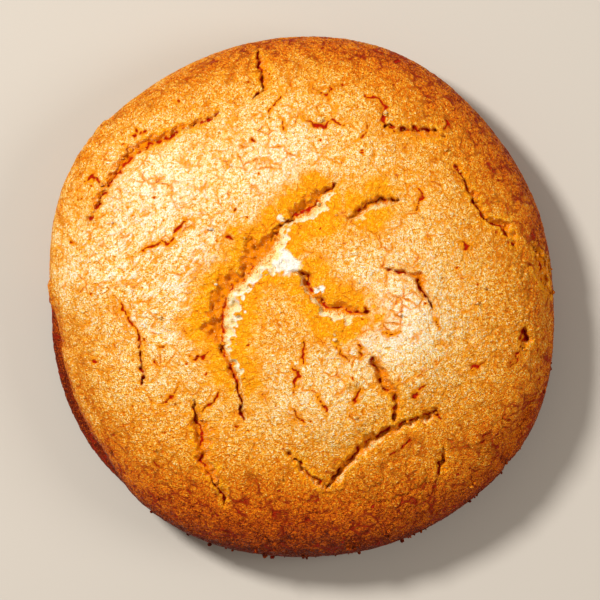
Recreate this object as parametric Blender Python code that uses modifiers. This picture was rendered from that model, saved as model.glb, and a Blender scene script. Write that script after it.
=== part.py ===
"""A butter cookie: one baked solid with a domed, cracked crust and a flat underside.

A ball of dough has slumped into a low dome on its tray. The crust set first and then tore open
where the middle kept rising. +X is to the right, +Y away from the viewer and +Z up, and the origin
is under the middle of the cookie, on the tray.
"""

import math

import bmesh
import bpy
from mathutils import Vector, noise

MM = 0.001  # one millimetre in metres: every size below is in millimetres

# Driving dimensions
MEAN_RADIUS = 32.6
CROWN_HEIGHT = 19.0  # the smooth dome's top, before the middle rises
WAIST_HEIGHT = 6.0  # where the side stands out furthest
UNDERSIDE_SHARE = 0.94  # the flat underside's radius over the waist's
FULLNESS = 0.86  # under 1 the dome's shoulder is squarer than an ellipse's

# How the outline strays from a circle: (waves round the rim, share of the radius, crest in degrees)
OUTLINE_SWINGS = (
    (2, 0.0156, -67),
    (3, 0.0040, -34),
    (4, 0.0129, -32),
    (5, 0.0035, 9),
    (6, 0.0040, 27),
    (8, 0.0034, 19),
)

# The foot: at the lower left the dough spread on the tray and shows outside the crust
FOOT_SPREAD = 1.7
FOOT_SWELL = 0.35  # how much of that the foot takes outward, and the crust takes the rest inward
FOOT_TOP = 3.4
FOOT_MIDDLE = 203  # degrees, and the foot fades out over this much to either side
FOOT_SWEEP = 30

# The middle, which rose last and stands a little proud inside the ring of tears
RISE = 0.9
RISE_CENTRE = (3.5, -4.5)
RISE_RADIUS = 13.5
RISE_EDGE = 3.0

# Gentle swells of the crust, as (size of a swell, height)
SWELLS = ((14.0, 0.7), (6.5, 0.35), (3.4, 0.2))

# How finely the dome is drawn: steps round it, and rows on the crown, the side and the underside
STEPS = 100
CROWN_ROWS = 23
SIDE_ROWS = 6
UNDERSIDE_ROWS = 4

# A crack's depth where it is a millimetre wide, and how slowly it deepens with its width
CRACK_DEPTH = 1.1
DEPTH_POWER = 0.6
BANK_SHARE = 0.75  # the torn slope on a crack's left side is this share of its width
CRACK_STEP = 1.0  # the straight pieces that a crack is made of
CRACK_BEND = 1.9  # size of its kinks
CRACK_WANDER = 0.45  # how far it strays from its route
CRACK_SEED = 5  # for the kinks, which would otherwise come out differently on each run
WIDTH_SWING = 0.45  # how much its width varies, as a share
TIP_WIDTH = 0.06
CUT_CLEARANCE = 1.2  # how far a cutter stands out of the crust

# The cracks, seen from above: places on each route and how wide it is there. The torn slope is on
# the left, looking along the route, and the right-hand wall is steep.
CRACKS = {
    "main_tear": (
        (4.4, 14.4, 0.2), (1.4, 11.9, 1.5), (-2.1, 9.4, 0.5), (-5.5, 5.4, 2.3), (-7.2, 3.4, 1.2),
        (-9.8, 0.6, 2.0), (-10.3, -3.6, 2.0), (-9.4, -6.9, 0.8), (-7.8, -11.4, 0.5),
        (-7.2, -15.1, 0.2),
    ),
    "centre_tear": (
        (-1.6, 3.5, 0.3), (0.8, 2.8, 1.2), (1.3, 0.9, 0.6), (3.6, -1.2, 0.9), (6.0, -1.4, 1.2),
        (8.4, -1.9, 0.3),
    ),
    "upper_tear": (
        (12.9, 12.1, 0.2), (9.5, 12.2, 0.9), (7.4, 11.0, 1.0), (5.9, 9.9, 0.2),
    ),
    "falling_crack": (
        (8.7, -7.3, 0.2), (9.8, -9.2, 0.9), (11.5, -12.0, 0.6), (11.9, -15.2, 0.5),
    ),
    "lower_tear": (
        (17.5, -14.8, 0.2), (16.6, -14.1, 0.6), (12.9, -15.6, 0.6), (8.2, -17.5, 0.8),
        (5.0, -21.0, 0.8), (3.0, -23.5, 0.4), (0.9, -21.5, 0.5), (-1.6, -19.5, 0.2),
    ),
    "lower_left_split": (
        (-13.6, -12.9, 0.2), (-13.0, -16.2, 1.1), (-12.4, -20.2, 0.9), (-9.9, -24.4, 0.4),
        (-9.7, -26.3, 0.2),
    ),
    "upper_left_arc": (
        (-10.4, 23.1, 0.2), (-16.2, 20.6, 0.5), (-21.1, 18.2, 0.8), (-24.7, 13.7, 0.5),
        (-26.9, 9.2, 0.2),
    ),
    "rim_fold": ((29.4, 6.3, 0.3), (30.0, 4.2, 1.0), (31.2, 0.4, 0.3)),
    "right_rim_crack": (
        (19.3, 16.7, 0.2), (20.8, 13.8, 0.4), (22.9, 9.9, 0.4), (25.4, 8.9, 0.7), (27.0, 6.3, 0.2),
    ),
    "upper_right_crack": ((18.1, 20.2, 0.2), (15.6, 20.9, 0.6), (10.4, 21.5, 0.2)),
    "top_split": ((-5.5, 30.8, 0.2), (-4.9, 29.2, 0.7), (-4.6, 26.4, 0.4), (-5.7, 25.2, 0.2)),
    "right_pit": ((27.8, -3.8, 0.3), (28.0, -5.2, 0.8), (27.9, -6.8, 0.2)),
    "left_crack": ((-20.5, -3.8, 0.2), (-20.1, -7.3, 0.5), (-19.8, -10.9, 0.2)),
    "right_crack": ((10.9, 3.6, 0.2), (14.2, 2.7, 0.6), (16.5, -1.6, 0.2)),
    "lower_right_crack": ((17.8, -18.8, 0.3), (17.6, -20.8, 0.6), (17.2, -22.1, 0.2)),
}

CRUST = {"colour": (0.73, 0.34, 0.075), "roughness": 0.55}


# The dome


def outline_radius(angle):
    """The cookie's largest radius in the direction of an angle seen from above."""
    swing = sum(
        share * math.cos(waves * (angle - math.radians(crest)))
        for waves, share, crest in OUTLINE_SWINGS
    )
    return MEAN_RADIUS * (1 + swing)


def smooth_step(value):
    value = min(1, max(0, value))
    return value * value * (3 - 2 * value)


def foot_reach(angle):
    """How far the foot stands out past the crust in the direction of an angle."""
    from_middle = abs((math.degrees(angle) - FOOT_MIDDLE + 180) % 360 - 180)
    return FOOT_SPREAD * smooth_step(1.5 * (1 - from_middle / FOOT_SWEEP))


def crust_radius(angle):
    return outline_radius(angle) - foot_reach(angle) * (1 - FOOT_SWELL)


def profile():
    """The dome's section, from the top of the crown round the side to the middle underneath."""
    points = []
    for row in range(CROWN_ROWS):
        rise = math.radians(90) * (1 - row / CROWN_ROWS)
        reach = math.cos(rise) ** FULLNESS
        points.append((reach, WAIST_HEIGHT + (CROWN_HEIGHT - WAIST_HEIGHT) * math.sin(rise)))
    for row in range(SIDE_ROWS):
        fall = math.radians(80) * row / SIDE_ROWS
        reach = UNDERSIDE_SHARE + (1 - UNDERSIDE_SHARE) * math.cos(fall)
        points.append((reach, WAIST_HEIGHT * (1 - math.sin(fall))))
    for row in range(UNDERSIDE_ROWS + 1):
        points.append((UNDERSIDE_SHARE * (1 - row / UNDERSIDE_ROWS), 0))
    return points


def swell_at(x, y):
    return sum(height * noise.noise(Vector((x / size, y / size, size))) for size, height in SWELLS)


def middle_rise(x, y):
    from_centre = math.hypot(x - RISE_CENTRE[0], y - RISE_CENTRE[1])
    return RISE * smooth_step((RISE_RADIUS + RISE_EDGE - from_centre) / (2 * RISE_EDGE))


def relief(x, y, reach):
    """How far the crust stands above the smooth dome. Less so near the rim, where it is steep."""
    return (swell_at(x, y) + middle_rise(x, y)) * math.sqrt(max(0, 1 - reach**2))


def crust_point(x, y):
    """The place on the crown over x, y."""
    angle = math.atan2(y, x)
    reach = math.hypot(x, y) / crust_radius(angle)
    cosine = min(1, reach) ** (1 / FULLNESS)
    dome = WAIST_HEIGHT + (CROWN_HEIGHT - WAIST_HEIGHT) * math.sqrt(1 - cosine**2)
    return Vector((x, y, dome + relief(x, y, reach)))


def crust_normal(x, y):
    step = 0.3
    eastward = crust_point(x + step, y) - crust_point(x - step, y)
    northward = crust_point(x, y + step) - crust_point(x, y - step)
    return eastward.cross(northward).normalized()


def turned_dome():
    """The smooth dome with a radius of 1, made by turning its section."""
    mesh = bpy.data.meshes.new("section")
    points = [(reach, 0, height) for reach, height in profile()]
    edges = [(i, i + 1) for i in range(len(points) - 1)]
    mesh.from_pydata(points, edges, [])
    section = bpy.data.objects.new("section", mesh)
    bpy.context.scene.collection.objects.link(section)
    screw = section.modifiers.new("turn", "SCREW")
    screw.steps = STEPS
    screw.render_steps = STEPS
    screw.use_merge_vertices = True
    screw.merge_threshold = 0.0001
    graph = bpy.context.evaluated_depsgraph_get()
    turned = bpy.data.meshes.new_from_object(section.evaluated_get(graph))
    bpy.data.objects.remove(section)
    return turned


def shape_dome(mesh):
    """Gives the turned dome the cookie's uneven outline, foot and swells."""
    for vertex in mesh.vertices:
        x, y, z = vertex.co
        reach = math.hypot(x, y)
        angle = math.atan2(y, x)
        above_foot = smooth_step((z - FOOT_TOP + 1) / 2)
        radius = crust_radius(angle) + foot_reach(angle) * (1 - above_foot)
        vertex.co.x = x * radius
        vertex.co.y = y * radius
        if z >= WAIST_HEIGHT:
            vertex.co.z = z + relief(vertex.co.x, vertex.co.y, reach)


# The cracks


def stations(route):
    """(place seen from above, width) every step or so along a crack, kinked as a tear is."""
    found = []
    for (x, y, width), (next_x, next_y, next_width) in zip(route, route[1:]):
        pieces = max(1, round(math.hypot(next_x - x, next_y - y) / CRACK_STEP))
        for piece in range(pieces):
            t = piece / pieces
            place = Vector((x + (next_x - x) * t, y + (next_y - y) * t, 0))
            found.append((place, width + (next_width - width) * t))
    found.append((Vector((*route[-1][:2], 0)), route[-1][2]))
    kinked = []
    for place, width in found:
        sideways = noise.noise_vector(place / CRACK_BEND) * CRACK_WANDER
        swing = 1 + WIDTH_SWING * noise.noise(place / CRACK_BEND + Vector((0, 0, 7)))
        kinked.append((place + Vector((sideways.x, sideways.y, 0)), width * swing))
    return kinked


def crack_section(width):
    """(across, up) corners of a crack's cut, from its steep right wall to its sloping left bank."""
    depth = CRACK_DEPTH * width**DEPTH_POWER
    half = width / 2
    bank = half + BANK_SHARE * width
    return (
        (-half * 1.3, CUT_CLEARANCE),
        (-half, 0),
        (-half * 0.7, -depth),
        (half * 0.3, -depth * 0.9),
        (bank, 0),
        (bank * 1.3, CUT_CLEARANCE),
    )


def crack_rings(route):
    """The corners of each section along a crack, standing square to the crust."""
    places = stations(route)
    last = len(places) - 1
    rings = []
    for i, (place, width) in enumerate(places):
        if i in (0, last):
            width = TIP_WIDTH
        onward = places[min(i + 1, last)][0] - places[max(i - 1, 0)][0]
        up = crust_normal(place.x, place.y)
        left = up.cross(onward).normalized()
        middle = crust_point(place.x, place.y)
        rings.append([middle + left * across + up * rise for across, rise in crack_section(width)])
    return rings


def make_cutter(name, route, collection):
    """A closed loft through a crack's sections."""
    cutter = bmesh.new()
    rings = [[cutter.verts.new(corner) for corner in ring] for ring in crack_rings(route)]
    sides = len(rings[0])
    for ring, following in zip(rings, rings[1:]):
        for i in range(sides):
            j = (i + 1) % sides
            cutter.faces.new((ring[i], ring[j], following[j], following[i]))
    cutter.faces.new(rings[0])
    cutter.faces.new(rings[-1])
    bmesh.ops.recalc_face_normals(cutter, faces=cutter.faces)
    mesh = bpy.data.meshes.new(name)
    cutter.to_mesh(mesh)
    cutter.free()
    obj = bpy.data.objects.new(name, mesh)
    obj.hide_render = True
    obj.display_type = "WIRE"
    collection.objects.link(obj)
    return obj


# The solid


def crust_material():
    """Baked butter dough: golden brown, and a little shiny with fat."""
    material = bpy.data.materials.new("baked_crust")
    material.use_nodes = True
    shader = material.node_tree.nodes["Principled BSDF"]
    shader.inputs["Base Color"].default_value = (*CRUST["colour"], 1)
    shader.inputs["Roughness"].default_value = CRUST["roughness"]
    shader.inputs["Metallic"].default_value = 0
    return material


def new_collection(name):
    collection = bpy.data.collections.new(name)
    bpy.context.scene.collection.children.link(collection)
    return collection


def outline_middle(mesh):
    """The middle of the box round the cookie, seen from above."""
    xs = [vertex.co.x for vertex in mesh.vertices]
    ys = [vertex.co.y for vertex in mesh.vertices]
    return Vector(((min(xs) + max(xs)) / 2, (min(ys) + max(ys)) / 2, 0))


def to_metres(mesh, middle):
    """Puts the origin under the middle of the cookie and turns millimetres to metres."""
    for vertex in mesh.vertices:
        vertex.co = (vertex.co - middle) * MM


def make_cookie():
    dome = turned_dome()
    dome.name = "cookie"
    shape_dome(dome)
    middle = outline_middle(dome)
    cutters = new_collection("crack_cutters")
    for name, route in CRACKS.items():
        cutter = make_cutter(name, route, cutters)
        to_metres(cutter.data, middle)
    to_metres(dome, middle)
    dome.shade_smooth()
    dome.set_sharp_from_angle(angle=math.radians(40))
    dome.materials.append(crust_material())
    cookie = bpy.data.objects.new("cookie", dome)
    new_collection("butter_cookie").objects.link(cookie)
    tear = cookie.modifiers.new("tear_open", "BOOLEAN")
    tear.operation = "DIFFERENCE"
    tear.operand_type = "COLLECTION"
    tear.collection = cutters
    tear.solver = "EXACT"
    tear.use_self = True
    return cookie


def main():
    for obj in list(bpy.data.objects):
        bpy.data.objects.remove(obj)
    noise.seed_set(CRACK_SEED)
    make_cookie()


main()
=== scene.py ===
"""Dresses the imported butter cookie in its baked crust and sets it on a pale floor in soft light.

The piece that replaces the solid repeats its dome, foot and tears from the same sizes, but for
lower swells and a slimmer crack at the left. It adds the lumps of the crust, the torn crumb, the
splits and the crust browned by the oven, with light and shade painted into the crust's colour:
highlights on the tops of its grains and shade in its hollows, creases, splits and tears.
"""

import math

import bmesh
import bpy
import numpy as np
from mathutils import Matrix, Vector, noise


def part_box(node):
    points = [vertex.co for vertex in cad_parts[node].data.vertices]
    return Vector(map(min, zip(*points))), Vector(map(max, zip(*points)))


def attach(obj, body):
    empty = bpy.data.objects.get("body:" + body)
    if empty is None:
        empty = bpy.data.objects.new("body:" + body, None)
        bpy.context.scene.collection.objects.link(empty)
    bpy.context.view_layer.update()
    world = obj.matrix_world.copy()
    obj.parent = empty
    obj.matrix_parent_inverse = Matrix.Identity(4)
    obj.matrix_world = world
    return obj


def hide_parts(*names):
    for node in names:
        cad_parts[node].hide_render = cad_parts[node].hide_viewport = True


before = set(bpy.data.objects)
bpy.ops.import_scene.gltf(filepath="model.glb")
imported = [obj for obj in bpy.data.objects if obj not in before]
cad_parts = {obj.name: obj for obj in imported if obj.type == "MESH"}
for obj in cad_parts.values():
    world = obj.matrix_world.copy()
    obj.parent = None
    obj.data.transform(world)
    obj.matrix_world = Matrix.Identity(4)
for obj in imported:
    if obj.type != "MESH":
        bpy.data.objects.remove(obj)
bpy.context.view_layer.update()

# The slumped dough
# A ball of soft butter dough that sank into a low dome as it baked. It set on the tray with a flat
# underside, and at the lower left a foot of it spread out past the crust.
MM = 0.001  # one millimetre in metres: every size below is in millimetres
box_low, box_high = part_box("cookie")
cookie_width, cookie_depth, cookie_height = (box_high - box_low) / MM

MEAN_RADIUS = 32.6
CROWN_HEIGHT = 19.0
WAIST_HEIGHT = 6.0  # where the side stands out furthest
UNDERSIDE_SHARE = 0.94  # the flat underside's radius over the waist's
FULLNESS = 0.86  # under 1 the dome's shoulder is squarer than an ellipse's
# How the outline strays from a circle: (waves round the rim, share of the radius, crest in degrees)
OUTLINE_SWINGS = (
    (2, 0.0156, -67),
    (3, 0.0040, -34),
    (4, 0.0129, -32),
    (5, 0.0035, 9),
    (6, 0.0040, 27),
    (8, 0.0034, 19),
)
FOOT_SPREAD = 1.7
FOOT_SWELL = 0.35  # how much of that the foot takes outward, and the crust takes the rest inward
FOOT_TOP = 3.4
FOOT_MIDDLE = 203  # degrees, and the foot fades out over the sweep to either side
FOOT_SWEEP = 30
RISE = 0.9  # the middle rose last and stands proud
RISE_CENTRE = (3.5, -4.5)
RISE_RADIUS = 13.5
RISE_EDGE = 3.0
SWELLS = ((14.0, 0.7), (6.5, 0.3), (3.4, 0.06))  # size and height, lower than the solid's

GRID_SQUARES = 520  # along each side of the square sheet that is laid over the dough
GRID_END = 0.9  # the sheet ends under the cookie, at this share of the waist's radius
TOP_SHEET = 0.9  # inside this share of the sheet it lies on top of the cookie, not under it


def smooth_step(value):
    value = np.clip(value, 0, 1)
    return value * value * (3 - 2 * value)


def noise_over(x, y, z, size, seed=0.0):
    """Smooth noise of about -1 to 1 at many places, with lumps of about this size."""
    places = zip((x / size).tolist(), (y / size).tolist(), (z / size + seed).tolist())
    return np.fromiter((noise.noise(Vector(place)) for place in places), float, len(x))


def cells_over(x, y, z, size, seed=0.0):
    """(distance from a lump's middle, how much further the next lump's is), as shares of their size."""
    places = zip((x / size).tolist(), (y / size).tolist(), (z / size + seed).tolist())
    nearest = np.array([noise.voronoi(Vector(place))[0][:2] for place in places])
    return nearest[:, 0], nearest[:, 1] - nearest[:, 0]


def square_to_disc(squares):
    """(share of the radius, angle) of each point of a square sheet that is drawn into a disc."""
    steps = np.linspace(-1, 1, squares + 1)
    across, along = (part.ravel() for part in np.meshgrid(steps, steps))
    ring = np.maximum(abs(across), abs(along))
    safe = np.where(ring == 0, 1, ring)
    sideways = abs(across) >= abs(along)
    turn = np.where(sideways, along, across) / safe * math.pi / 4
    angle = np.where(
        sideways,
        np.where(across >= 0, turn, math.pi - turn),
        np.where(along >= 0, math.pi / 2 - turn, turn - math.pi / 2),
    )
    return ring, angle


def outline_radius(angle):
    swing = sum(
        share * np.cos(waves * (angle - math.radians(crest)))
        for waves, share, crest in OUTLINE_SWINGS
    )
    return MEAN_RADIUS * (1 + swing)


def foot_reach(angle):
    """How far the foot stands out past the crust in the direction of an angle."""
    from_middle = abs((np.degrees(angle) - FOOT_MIDDLE + 180) % 360 - 180)
    return FOOT_SPREAD * smooth_step(1.5 * (1 - from_middle / FOOT_SWEEP))


def section():
    """(reach, height) down the dome's section from its top to the sheet's end under the cookie."""
    rise = np.radians(np.linspace(90, 0, 300))
    fall = np.radians(np.linspace(0, 84, 80))[1:]
    crown = (np.cos(rise) ** FULLNESS, WAIST_HEIGHT + (CROWN_HEIGHT - WAIST_HEIGHT) * np.sin(rise))
    side_reach = UNDERSIDE_SHARE + (1 - UNDERSIDE_SHARE) * np.cos(fall)
    side = (side_reach, WAIST_HEIGHT * (1 - np.sin(fall)))
    under = ([UNDERSIDE_SHARE - 0.004, GRID_END], [0, 0])
    return (np.concatenate(parts) for parts in zip(crown, side, under))


ring, angle = square_to_disc(GRID_SQUARES)
section_reach, section_height = section()
runs = np.hypot(np.diff(section_reach) * MEAN_RADIUS, np.diff(section_height))
run_so_far = np.concatenate(([0], np.cumsum(runs)))
reach = np.interp(ring * run_so_far[-1], run_so_far, section_reach)
z = np.interp(ring * run_so_far[-1], run_so_far, section_height)
above_foot = smooth_step((z - FOOT_TOP + 1) / 2)
crust_radius = outline_radius(angle) - foot_reach(angle) * (1 - FOOT_SWELL)
radius = crust_radius + foot_reach(angle) * (1 - above_foot)
x = reach * radius * np.cos(angle)
y = reach * radius * np.sin(angle)

swells = sum(height * noise_over(x, y, 0 * z, size, size) for size, height in SWELLS)
from_rise = np.hypot(x - RISE_CENTRE[0], y - RISE_CENTRE[1])
middle_rise = RISE * smooth_step((RISE_RADIUS + RISE_EDGE - from_rise) / (2 * RISE_EDGE))
on_crown = (z >= WAIST_HEIGHT) & (ring < TOP_SHEET)
z = z + np.where(on_crown, (swells + middle_rise) * np.sqrt(np.clip(1 - reach**2, 0, 1)), 0)

# The tears
# The crust set while the middle still rose, so it tore. The wide tears have a steep wall on the
# right of their route and a slope of pale crumb on the left, and the narrow ones are plain splits.
CRACK_DEPTH = 1.1  # where a tear is a millimetre wide
DEPTH_POWER = 0.6  # how slowly it deepens with its width
BANK_SHARE = 0.75  # the width of the bank, as a share of the tear's
FLOOR_FILL = 0.4  # how far crumb fills the floor, as a share of the depth
CRACK_STEP = 1.0
CRACK_BEND = 1.9  # size of a tear's kinks
CRACK_WANDER = 0.45  # how far it strays from its route
CRACK_SEED = 5  # the solid's own, so that the kinks are the same
WIDTH_SWING = 0.45  # how much its width varies, as a share
NARROWEST = 0.05
SPLIT_LIMIT = 0.6  # a tear starts to have a wall and a bank from this width, as wide tears do
# Places across a tear, as shares of half its width: (in a plain split, in a wide tear)
WALL_TOP = (-1.15, -1.55)
WALL_FOOT = (-0.5, -0.3)
FLOOR_EDGE = (0.6, 0.3)
SLIT_PLACE = (-0.35, 0.35)
RAGGED = ((1.8, 0.34), (0.9, 0.34), (0.45, 0.2))  # size and reach of the teeth of a torn edge
WALL_RAGGED = 0.3  # how ragged a wide tear's wall and bank are, as a share of its edges
SHOULDER_DEPTH = 0.2  # how far the crust sinks beside a tear that is a millimetre wide
SHOULDER_REACH = 0.9
LIP_SHARE = 0.08  # how high a torn edge curls up, as a share of the tear's depth
LIP_REACH = 0.45
SLIT_REACH = 0.2  # the deepest slit of a tear, at the foot of its steep wall
SLIT_DEPTH = 0.15
SLIT_WIDTH = 0.3  # how wide a tear is before it has a whole slit
SLIT_OPEN = 0.9  # how open it is on average, where over 1 is never closed
SLIT_BREAK = 2.6  # how often it opens and closes
POCKET_SIZE = 1.5  # a tear's floor rises and falls in pockets of this size
POCKET_SWING = 0.7
WIDTH_BREAK = 0.7  # how much a tear's width varies in short stretches
BREAK_SIZE = 0.7  # how long those stretches are
WAIST_FADE = 2.5  # tears close over this height above the waist
EDGE_BLUR = 0.12  # how softly crust turns to crumb at a torn edge
CRUMB_WIDTH = (0.15, 0.5)  # crumb starts to show, and shows fully, in a tear of this width
PALE_WIDTH = 0.9  # how wide a tear is before its crumb is as pale as it gets
GLOW_START = 0.4  # the amber beside a wide tear, partly the crust's own buttery tone and partly painted glow, is whole up to here
GLOW_REACH = 4.2  # and runs out over this far
GLOW_WIDTH = 0.7  # how wide a tear is before its amber is whole
WALL_GLOW = 0.75  # how amber the wall's side is, as a share of the bank's
EDGE_SHADE = 0.45  # how amber the crust is painted along every torn edge, as warm shade on the sunken shoulders beside it
EDGE_SHADE_REACH = 0.5
EDGE_SHADE_WIDTH = 0.4

# Places on each route, in millimetres from the middle, and how wide the tear is there. The steep
# wall is on the right, looking along the route, and the bank on the left.
TEARS = {
    "main_tear": (
        (4.4, 14.4, 0.2), (1.4, 11.9, 1.5), (-2.1, 9.4, 0.5), (-5.5, 5.4, 2.3), (-7.2, 3.4, 1.2),
        (-9.8, 0.6, 2.0), (-10.3, -3.6, 2.0), (-9.4, -6.9, 0.8), (-7.8, -11.4, 0.5),
        (-7.2, -15.1, 0.2),
    ),
    "centre_tear": (
        (8.4, -1.9, 0.3), (6.0, -1.4, 1.2), (3.6, -1.2, 0.9), (1.3, 0.9, 0.6), (0.8, 2.8, 1.2),
        (-1.6, 3.5, 0.3),
    ),
    "upper_tear": (
        (12.9, 12.1, 0.2), (9.5, 12.2, 0.9), (7.4, 11.0, 1.0), (5.9, 9.9, 0.2),
    ),
    "falling_crack": (
        (8.7, -7.3, 0.2), (9.8, -9.2, 0.9), (11.5, -12.0, 0.6), (11.9, -15.2, 0.5),
    ),
    "lower_tear": (
        (17.5, -14.8, 0.2), (16.6, -14.1, 0.6), (12.9, -15.6, 0.6), (8.2, -17.5, 0.8),
        (5.0, -21.0, 0.8), (3.0, -23.5, 0.4), (0.9, -21.5, 0.5), (-1.6, -19.5, 0.2),
    ),
    "lower_left_split": (
        (-13.6, -12.9, 0.2), (-13.0, -16.2, 1.1), (-12.4, -20.2, 0.9), (-9.9, -24.4, 0.4),
        (-9.7, -26.3, 0.2),
    ),
    "upper_left_arc": (
        (-26.9, 9.2, 0.2), (-24.7, 13.7, 0.5), (-21.1, 18.2, 0.8), (-16.2, 20.6, 0.5),
        (-10.4, 23.1, 0.2),
    ),
    "rim_fold": ((29.4, 6.3, 0.3), (30.0, 4.2, 1.0), (31.2, 0.4, 0.3)),
    "right_rim_crack": (
        (19.3, 16.7, 0.2), (20.8, 13.8, 0.4), (22.9, 9.9, 0.4), (25.4, 8.9, 0.7), (27.0, 6.3, 0.2),
    ),
    "upper_right_crack": ((18.1, 20.2, 0.2), (15.6, 20.9, 0.6), (10.4, 21.5, 0.2)),
    "top_split": ((-5.5, 30.8, 0.2), (-4.9, 29.2, 0.7), (-4.6, 26.4, 0.4), (-5.7, 25.2, 0.2)),
    "right_pit": ((27.8, -3.8, 0.3), (28.0, -5.2, 0.8), (27.9, -6.8, 0.2)),
    "left_crack": ((-20.5, -4.6, 0.2), (-20.1, -7.3, 0.36), (-19.8, -10.9, 0.2)),
    "right_crack": ((10.9, 3.6, 0.2), (14.2, 2.7, 0.6), (16.5, -1.6, 0.2)),
    "lower_right_crack": ((17.8, -18.8, 0.3), (17.6, -20.8, 0.6), (17.2, -22.1, 0.2)),
}
# How pale the crumb shows on each bank: the late tears are fresh, the early ones baked over
PALENESS = {"main_tear": 1.0, "centre_tear": 0.85, "upper_tear": 0.65, "lower_tear": 0.45}
EARLY_PALENESS = 0.12
AMBER_TEARS = ("main_tear", "centre_tear", "upper_tear")


def stations(route):
    """(x, y, width) every step or so along a tear, kinked as the solid's own is."""
    found = []
    for (from_x, from_y, width), (to_x, to_y, next_width) in zip(route, route[1:]):
        pieces = max(1, round(math.hypot(to_x - from_x, to_y - from_y) / CRACK_STEP))
        for piece in range(pieces):
            t = piece / pieces
            place = Vector((from_x + (to_x - from_x) * t, from_y + (to_y - from_y) * t, 0))
            found.append((place, width + (next_width - width) * t))
    found.append((Vector((*route[-1][:2], 0)), route[-1][2]))
    kinked = []
    for place, width in found:
        sideways = noise.noise_vector(place / CRACK_BEND) * CRACK_WANDER
        swing = 1 + WIDTH_SWING * noise.noise(place / CRACK_BEND + Vector((0, 0, 7)))
        kinked.append((place.x + sideways.x, place.y + sideways.y, width * swing))
    return np.array(kinked)


def nearest_on(route, across, up):
    """(distance to the left of a tear, its width there) for many places near it."""
    best = np.full(len(across), np.inf)
    side = np.ones(len(across))
    width = np.zeros(len(across))
    for start, end in zip(route, route[1:]):
        run = end[:2] - start[:2]
        off_x, off_y = across - start[0], up - start[1]
        t = np.clip((off_x * run[0] + off_y * run[1]) / (run @ run), 0, 1)
        distance = np.hypot(off_x - t * run[0], off_y - t * run[1])
        nearer = distance < best
        best[nearer] = distance[nearer]
        side[nearer] = np.where(run[0] * off_y - run[1] * off_x > 0, 1, -1)[nearer]
        width[nearer] = (start[2] + (end[2] - start[2]) * t)[nearer]
    return best * side, width


def near_to(distance, reach, flat):
    """1 out to the flat share of a reach, and down to 0 one reach further."""
    return np.clip(1 + flat - distance / reach, 0, 1)


def wideness(width):
    """0 for a plain split and 1 for a wide tear, with a wall and a bank."""
    return smooth_step(width - SPLIT_LIMIT)


def tear_section(off, width):
    """(depth, place up the bank, nearness to the slit, distance outside the edges) across a tear."""
    deep = CRACK_DEPTH * np.maximum(width, NARROWEST) ** DEPTH_POWER
    half = np.maximum(width, NARROWEST) / 2
    wide = wideness(width)
    wall_top, wall_foot, floor_edge, slit_middle = (
        half * (in_split + (in_wide - in_split) * wide)
        for in_split, in_wide in (WALL_TOP, WALL_FOOT, FLOOR_EDGE, SLIT_PLACE)
    )
    bank_top = half + BANK_SHARE * width
    down_wall = np.clip((off - wall_top) / (wall_foot - wall_top), 0, 1)
    up_bank = np.clip((off - floor_edge) / (bank_top - floor_edge), 0, 1)
    depth = deep * (1 - FLOOR_FILL * wide) * np.where(off < floor_edge, down_wall, 1 - up_bank)
    slit = near_to(abs(off - slit_middle), SLIT_REACH, 0.3)
    outside = np.maximum(wall_top - off, off - bank_top)
    return depth, np.where(off < floor_edge, 0, up_bank), slit, outside


BARE_FILL = 0.75  # how far the bare crumb fills a tear under it
BARE_RAGGED = 1.6  # how much more ragged a bare patch is than a torn edge
BARE_BLUR = 0.35
BARE_PALENESS = 1.2
# Where the crumb was torn bare between the main tear and the centre one: (x, y, radius)
BARE_PATCHES = (
    (-2.2, 4.6, 1.5), (-3.4, 5.6, 1.3), (-1.0, 4.2, 1.1), (-4.6, 4.2, 1.3), (-6.0, 2.8, 1.2),
    (-7.4, 1.4, 1.0), (-8.3, 0.0, 0.8), (2.0, 0.8, 1.0), (-2.8, 7.4, 0.7), (-2.1, 9.9, 0.55),
)

ragged_x = sum(reach_mm * noise_over(x, y, z, size, 3.1) for size, reach_mm in RAGGED)
ragged_y = sum(reach_mm * noise_over(x, y, z, size, 8.7) for size, reach_mm in RAGGED)
pockets = noise_over(x, y, z, POCKET_SIZE, 5.3)
broken = noise_over(x, y, z, BREAK_SIZE, 6.1)
torn_depth = np.zeros(len(x))
sunk = np.zeros(len(x))
lip = np.zeros(len(x))
torn = np.zeros(len(x))
bank = np.zeros(len(x))
slit = np.zeros(len(x))
glow = np.zeros(len(x))
NEAR = 6.0  # no tear changes the crust further off than this
wall_x, wall_y = x + WALL_RAGGED * ragged_x, y + WALL_RAGGED * ragged_y
closing = smooth_step((z - WAIST_HEIGHT) / WAIST_FADE)


def near_route(path, reach):
    """The numbers of the crown's points round a route."""
    low_x, low_y = path[:, :2].min(axis=0) - reach
    high_x, high_y = path[:, :2].max(axis=0) + reach
    return np.flatnonzero((x > low_x) & (x < high_x) & (y > low_y) & (y < high_y) & on_crown)


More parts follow.
